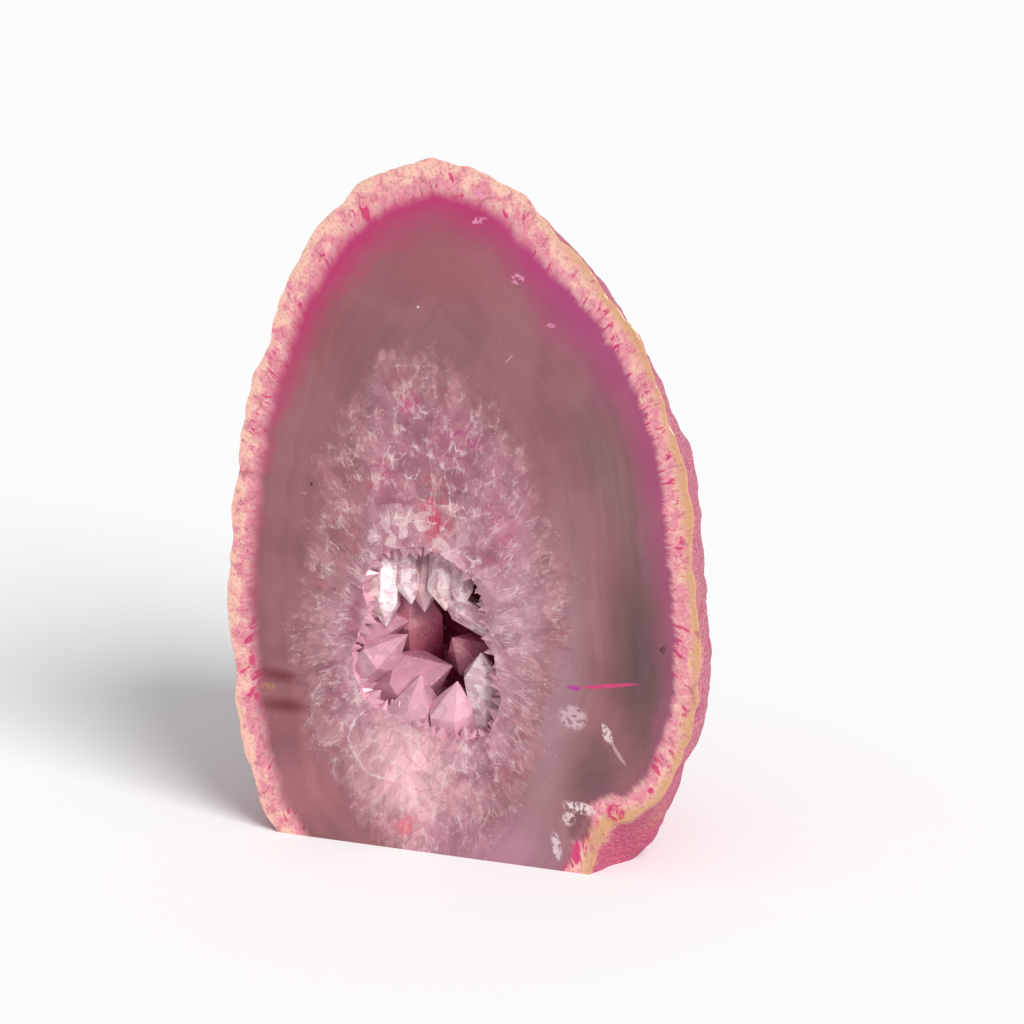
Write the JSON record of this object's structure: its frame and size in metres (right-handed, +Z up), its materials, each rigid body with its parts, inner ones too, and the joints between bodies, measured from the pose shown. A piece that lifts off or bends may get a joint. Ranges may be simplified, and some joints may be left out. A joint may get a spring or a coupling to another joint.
{
  "type": "free-standing geode",
  "caption": "Free-standing half of a dyed agate nodule: polished face leaning back, flat sawn base, rough rounded skin behind, and an open pocket of quartz crystals.",
  "frame": {"origin": "on the surface it stands on, under the middle of its bounding box", "axes": "+Z up; the polished face looks towards -Y and leans back 5 degrees; +X to the right as the face is seen"},
  "size_m": [0.0838, 0.0496, 0.1149],
  "materials": {
    "agate": "polished face, matt rough skin",
    "quartz": "glassy natural crystal faces"
  },
  "bodies": {
    "root": {"geode_stone": "agate", "roof_crystal_left": "quartz", "roof_crystal_small": "quartz", "roof_crystal_middle": "quartz", "roof_crystal_silver": "quartz", "roof_crystal_right": "quartz", "rim_crystal_right": "quartz", "back_crystal_large": "quartz", "back_crystal_upper": "quartz", "back_crystal_right": "quartz", "side_crystal_right": "quartz", "floor_crystal_right": "quartz", "floor_crystal_left": "quartz", "floor_crystal_large": "quartz", "floor_crystal_small": "quartz", "side_crystal_left": "quartz"}
  },
  "joints": []
}
